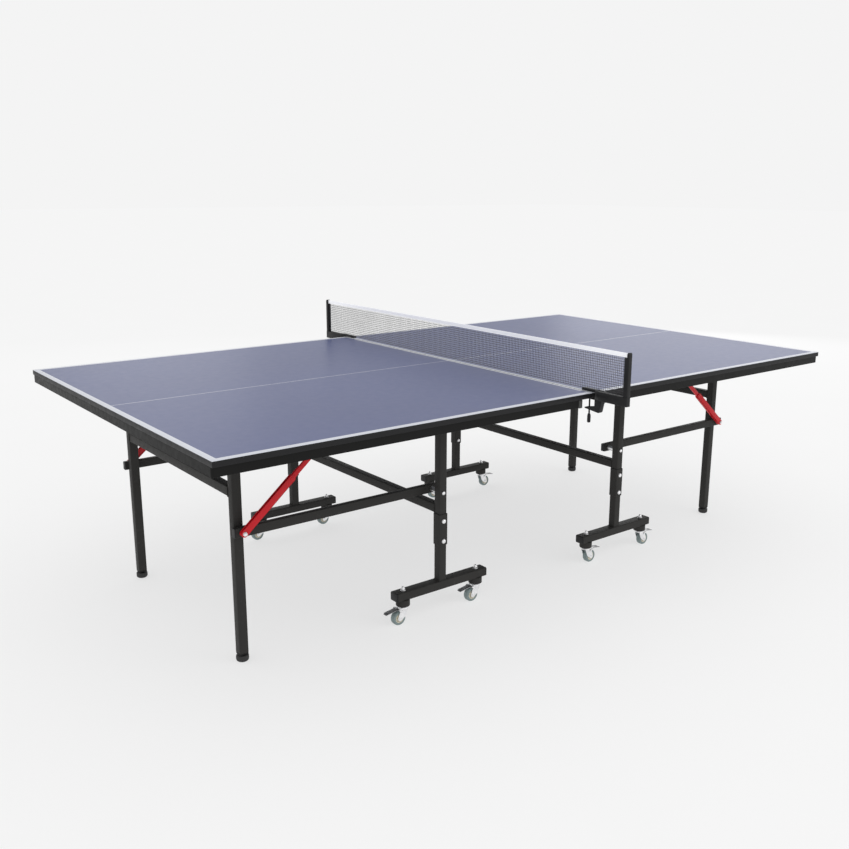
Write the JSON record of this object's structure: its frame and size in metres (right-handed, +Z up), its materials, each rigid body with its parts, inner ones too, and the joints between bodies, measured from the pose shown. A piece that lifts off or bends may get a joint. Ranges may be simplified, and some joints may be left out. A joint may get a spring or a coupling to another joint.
{
  "type": "folding ping pong table",
  "caption": "Folding ping pong table: two boards with white lines on wheeled folding steel frames, with a clamp-on net set.",
  "frame": {"origin": "on the floor, below the middle of the net", "axes": "+X along the table's length, +Y across it from the near side to the far side, +Z up"},
  "size_m": [2.74, 1.83, 0.9145],
  "materials": {
    "tabletop_board": "matt painted board with white edge lines",
    "black_frame": "satin black powder coat",
    "red_steel": "satin red paint",
    "zinc_steel": "bright zinc plate",
    "dark_steel": "dark grey coated sheet",
    "wheel_rubber": "matt grey tread",
    "black_rubber": "matt moulded foot",
    "black_plastic": "fine texture moulding",
    "net_mesh": "knotted mesh with a white tape"
  },
  "bodies": {
    "left_tabletop": {"left_tabletop": "tabletop_board", "left_apron_frame": "black_frame", "left_pivot_pins": "zinc_steel"},
    "left_cart": {"left_upright_frame": "black_frame", "left_caster_beams": "black_frame", "left_joiner_sleeves": "black_frame", "left_beam_end_caps": "black_plastic", "left_cart_bolts": "zinc_steel"},
    "left_legs": {"left_leg_frame": "black_frame"},
    "left_ties": {"left_tie_bars": "black_frame"},
    "left_brace_lower": {"left_brace_lower_links": "red_steel"},
    "left_brace_upper": {"left_brace_upper_links": "red_steel"},
    "left_near_foot": {"left_near_foot": "black_rubber"},
    "left_near_inner_fork": {"left_near_inner_fork": "zinc_steel"},
    "left_near_inner_wheel": {"left_near_inner_wheel": "wheel_rubber"},
    "left_near_inner_brake": {"left_near_inner_brake": "dark_steel"},
    "left_near_outer_fork": {"left_near_outer_fork": "zinc_steel"},
    "left_near_outer_wheel": {"left_near_outer_wheel": "wheel_rubber"},
    "left_near_outer_brake": {"left_near_outer_brake": "dark_steel"},
    "left_far_foot": {"left_far_foot": "black_rubber"},
    "left_far_inner_fork": {"left_far_inner_fork": "zinc_steel"},
    "left_far_inner_wheel": {"left_far_inner_wheel": "wheel_rubber"},
    "left_far_inner_brake": {"left_far_inner_brake": "dark_steel"},
    "left_far_outer_fork": {"left_far_outer_fork": "zinc_steel"},
    "left_far_outer_wheel": {"left_far_outer_wheel": "wheel_rubber"},
    "left_far_outer_brake": {"left_far_outer_brake": "dark_steel"},
    "right_tabletop": {"right_tabletop": "tabletop_board", "right_apron_frame": "black_frame", "right_pivot_pins": "zinc_steel"},
    "right_cart": {"right_upright_frame": "black_frame", "right_caster_beams": "black_frame", "right_joiner_sleeves": "black_frame", "right_beam_end_caps": "black_plastic", "right_cart_bolts": "zinc_steel"},
    "right_legs": {"right_leg_frame": "black_frame"},
    "right_ties": {"right_tie_bars": "black_frame"},
    "right_brace_lower": {"right_brace_lower_links": "red_steel"},
    "right_brace_upper": {"right_brace_upper_links": "red_steel"},
    "right_near_foot": {"right_near_foot": "black_rubber"},
    "right_near_inner_fork": {"right_near_inner_fork": "zinc_steel"},
    "right_near_inner_wheel": {"right_near_inner_wheel": "wheel_rubber"},
    "right_near_inner_brake": {"right_near_inner_brake": "dark_steel"},
    "right_near_outer_fork": {"right_near_outer_fork": "zinc_steel"},
    "right_near_outer_wheel": {"right_near_outer_wheel": "wheel_rubber"},
    "right_near_outer_brake": {"right_near_outer_brake": "dark_steel"},
    "right_far_foot": {"right_far_foot": "black_rubber"},
    "right_far_inner_fork": {"right_far_inner_fork": "zinc_steel"},
    "right_far_inner_wheel": {"right_far_inner_wheel": "wheel_rubber"},
    "right_far_inner_brake": {"right_far_inner_brake": "dark_steel"},
    "right_far_outer_fork": {"right_far_outer_fork": "zinc_steel"},
    "right_far_outer_wheel": {"right_far_outer_wheel": "wheel_rubber"},
    "right_far_outer_brake": {"right_far_outer_brake": "dark_steel"},
    "net": {"net": "net_mesh"},
    "near_net_clamp": {"near_net_clamp": "black_plastic", "near_net_post": "black_plastic"},
    "far_net_clamp": {"far_net_clamp": "black_plastic", "far_net_post": "black_plastic"},
    "near_clamp_screw": {"near_clamp_screw": "black_plastic"},
    "far_clamp_screw": {"far_clamp_screw": "black_plastic"}
  },
  "joints": [
    {"name": "left_fold", "type": "hinge", "parent": "left_cart", "child": "left_tabletop", "pos_m": [-0.44, 0, 0.698], "axis": [0, 1, 0], "range_deg": [0, 90]},
    {"name": "left_leg_swing", "type": "hinge", "parent": "left_tabletop", "child": "left_legs", "pos_m": [-1.145, 0, 0.698], "axis": [0, 1, 0], "range_deg": [-90, 0]},
    {"name": "left_tie_swing", "type": "hinge", "parent": "left_cart", "child": "left_ties", "pos_m": [-0.44, 0, 0.43], "axis": [0, 1, 0], "range_deg": [0, 90]},
    {"name": "left_brace_lower_swing", "type": "hinge", "parent": "left_ties", "child": "left_brace_lower", "pos_m": [-1.145, 0, 0.43], "axis": [0, 1, 0], "range_deg": [0, 118.2]},
    {"name": "left_brace_knee", "type": "hinge", "parent": "left_brace_lower", "child": "left_brace_upper", "pos_m": [-0.98159, 0, 0.56973], "axis": [0, 1, 0], "range_deg": [-160.3, 0]},
    {"name": "left_near_foot_screw", "type": "slide", "parent": "left_legs", "child": "left_near_foot", "axis": [0, 0, 1], "range_m": [-0.008, 0.0025]},
    {"name": "left_near_inner_swivel", "type": "hinge", "parent": "left_cart", "child": "left_near_inner_fork", "pos_m": [-0.282, -0.5, 0.058], "axis": [0, 0, 1], "continuous": true},
    {"name": "left_near_inner_roll", "type": "hinge", "parent": "left_near_inner_fork", "child": "left_near_inner_wheel", "pos_m": [-0.302, -0.5, 0.025], "axis": [0, 1, 0], "continuous": true},
    {"name": "left_near_inner_brake_press", "type": "hinge", "parent": "left_near_inner_fork", "child": "left_near_inner_brake", "pos_m": [-0.296, -0.5, 0.05], "axis": [0, -1, 0], "range_deg": [0, 10]},
    {"name": "left_near_outer_swivel", "type": "hinge", "parent": "left_cart", "child": "left_near_outer_fork", "pos_m": [-0.598, -0.5, 0.058], "axis": [0, 0, 1], "continuous": true},
    {"name": "left_near_outer_roll", "type": "hinge", "parent": "left_near_outer_fork", "child": "left_near_outer_wheel", "pos_m": [-0.618, -0.5, 0.025], "axis": [0, 1, 0], "continuous": true},
    {"name": "left_near_outer_brake_press", "type": "hinge", "parent": "left_near_outer_fork", "child": "left_near_outer_brake", "pos_m": [-0.612, -0.5, 0.05], "axis": [0, -1, 0], "range_deg": [0, 10]},
    {"name": "left_far_foot_screw", "type": "slide", "parent": "left_legs", "child": "left_far_foot", "axis": [0, 0, 1], "range_m": [-0.008, 0.0025]},
    {"name": "left_far_inner_swivel", "type": "hinge", "parent": "left_cart", "child": "left_far_inner_fork", "pos_m": [-0.282, 0.5, 0.058], "axis": [0, 0, 1], "continuous": true},
    {"name": "left_far_inner_roll", "type": "hinge", "parent": "left_far_inner_fork", "child": "left_far_inner_wheel", "pos_m": [-0.302, 0.5, 0.025], "axis": [0, 1, 0], "continuous": true},
    {"name": "left_far_inner_brake_press", "type": "hinge", "parent": "left_far_inner_fork", "child": "left_far_inner_brake", "pos_m": [-0.296, 0.5, 0.05], "axis": [0, -1, 0], "range_deg": [0, 10]},
    {"name": "left_far_outer_swivel", "type": "hinge", "parent": "left_cart", "child": "left_far_outer_fork", "pos_m": [-0.598, 0.5, 0.058], "axis": [0, 0, 1], "continuous": true},
    {"name": "left_far_outer_roll", "type": "hinge", "parent": "left_far_outer_fork", "child": "left_far_outer_wheel", "pos_m": [-0.618, 0.5, 0.025], "axis": [0, 1, 0], "continuous": true},
    {"name": "left_far_outer_brake_press", "type": "hinge", "parent": "left_far_outer_fork", "child": "left_far_outer_brake", "pos_m": [-0.612, 0.5, 0.05], "axis": [0, -1, 0], "range_deg": [0, 10]},
    {"name": "right_fold", "type": "hinge", "parent": "right_cart", "child": "right_tabletop", "pos_m": [0.44, 0, 0.698], "axis": [0, -1, 0], "range_deg": [0, 90], "deforming": ["net"]},
    {"name": "right_leg_swing", "type": "hinge", "parent": "right_tabletop", "child": "right_legs", "pos_m": [1.145, 0, 0.698], "axis": [0, -1, 0], "range_deg": [-90, 0]},
    {"name": "right_tie_swing", "type": "hinge", "parent": "right_cart", "child": "right_ties", "pos_m": [0.44, 0, 0.43], "axis": [0, -1, 0], "range_deg": [0, 90]},
    {"name": "right_brace_lower_swing", "type": "hinge", "parent": "right_ties", "child": "right_brace_lower", "pos_m": [1.145, 0, 0.43], "axis": [0, -1, 0], "range_deg": [0, 118.2]},
    {"name": "right_brace_knee", "type": "hinge", "parent": "right_brace_lower", "child": "right_brace_upper", "pos_m": [0.98159, 0, 0.56973], "axis": [0, -1, 0], "range_deg": [-160.3, 0]},
    {"name": "right_near_foot_screw", "type": "slide", "parent": "right_legs", "child": "right_near_foot", "axis": [0, 0, 1], "range_m": [-0.008, 0.0025]},
    {"name": "right_near_inner_swivel", "type": "hinge", "parent": "right_cart", "child": "right_near_inner_fork", "pos_m": [0.282, -0.5, 0.058], "axis": [0, 0, 1], "continuous": true},
    {"name": "right_near_inner_roll", "type": "hinge", "parent": "right_near_inner_fork", "child": "right_near_inner_wheel", "pos_m": [0.302, -0.5, 0.025], "axis": [0, 1, 0], "continuous": true},
    {"name": "right_near_inner_brake_press", "type": "hinge", "parent": "right_near_inner_fork", "child": "right_near_inner_brake", "pos_m": [0.296, -0.5, 0.05], "axis": [0, 1, 0], "range_deg": [0, 10]},
    {"name": "right_near_outer_swivel", "type": "hinge", "parent": "right_cart", "child": "right_near_outer_fork", "pos_m": [0.598, -0.5, 0.058], "axis": [0, 0, 1], "continuous": true},
    {"name": "right_near_outer_roll", "type": "hinge", "parent": "right_near_outer_fork", "child": "right_near_outer_wheel", "pos_m": [0.618, -0.5, 0.025], "axis": [0, 1, 0], "continuous": true},
    {"name": "right_near_outer_brake_press", "type": "hinge", "parent": "right_near_outer_fork", "child": "right_near_outer_brake", "pos_m": [0.612, -0.5, 0.05], "axis": [0, 1, 0], "range_deg": [0, 10]},
    {"name": "right_far_foot_screw", "type": "slide", "parent": "right_legs", "child": "right_far_foot", "axis": [0, 0, 1], "range_m": [-0.008, 0.0025]},
    {"name": "right_far_inner_swivel", "type": "hinge", "parent": "right_cart", "child": "right_far_inner_fork", "pos_m": [0.282, 0.5, 0.058], "axis": [0, 0, 1], "continuous": true},
    {"name": "right_far_inner_roll", "type": "hinge", "parent": "right_far_inner_fork", "child": "right_far_inner_wheel", "pos_m": [0.302, 0.5, 0.025], "axis": [0, 1, 0], "continuous": true},
    {"name": "right_far_inner_brake_press", "type": "hinge", "parent": "right_far_inner_fork", "child": "right_far_inner_brake", "pos_m": [0.296, 0.5, 0.05], "axis": [0, 1, 0], "range_deg": [0, 10]},
    {"name": "right_far_outer_swivel", "type": "hinge", "parent": "right_cart", "child": "right_far_outer_fork", "pos_m": [0.598, 0.5, 0.058], "axis": [0, 0, 1], "continuous": true},
    {"name": "right_far_outer_roll", "type": "hinge", "parent": "right_far_outer_fork", "child": "right_far_outer_wheel", "pos_m": [0.618, 0.5, 0.025], "axis": [0, 1, 0], "continuous": true},
    {"name": "right_far_outer_brake_press", "type": "hinge", "parent": "right_far_outer_fork", "child": "right_far_outer_brake", "pos_m": [0.612, 0.5, 0.05], "axis": [0, 1, 0], "range_deg": [0, 10]},
    {"name": "near_net_clamp_draw_off", "type": "slide", "parent": "right_tabletop", "child": "near_net_clamp", "axis": [0, -1, 0], "range_m": [0, 0.07]},
    {"name": "far_net_clamp_draw_off", "type": "slide", "parent": "right_tabletop", "child": "far_net_clamp", "axis": [0, 1, 0], "range_m": [0, 0.07]},
    {"name": "near_clamp_screw_travel", "type": "slide", "parent": "near_net_clamp", "child": "near_clamp_screw", "axis": [0, 0, 1], "range_m": [-0.025, 0]},
    {"name": "far_clamp_screw_travel", "type": "slide", "parent": "far_net_clamp", "child": "far_clamp_screw", "axis": [0, 0, 1], "range_m": [-0.025, 0]},
    {"name": "halves_roll_apart", "type": "slide", "parent": "left_cart", "child": "right_cart", "axis": [1, 0, 0], "range_m": [0, 0.6]},
    {"name": "net_lift_off", "type": "slide", "parent": "right_tabletop", "child": "net", "axis": [0, 0, 1], "range_m": [0, 0.3]}
  ],
  "couplings": [
    {"joint": "left_leg_swing", "follows": "left_fold", "ratio": -1},
    {"joint": "left_tie_swing", "follows": "left_fold", "ratio": 1},
    {"joint": "left_brace_lower_swing", "follows": "left_fold", "ratio": 1.3121},
    {"joint": "left_brace_knee", "follows": "left_fold", "ratio": -1.7798},
    {"joint": "right_leg_swing", "follows": "right_fold", "ratio": -1},
    {"joint": "right_tie_swing", "follows": "right_fold", "ratio": 1},
    {"joint": "right_brace_lower_swing", "follows": "right_fold", "ratio": 1.3121},
    {"joint": "right_brace_knee", "follows": "right_fold", "ratio": -1.7798}
  ]
}
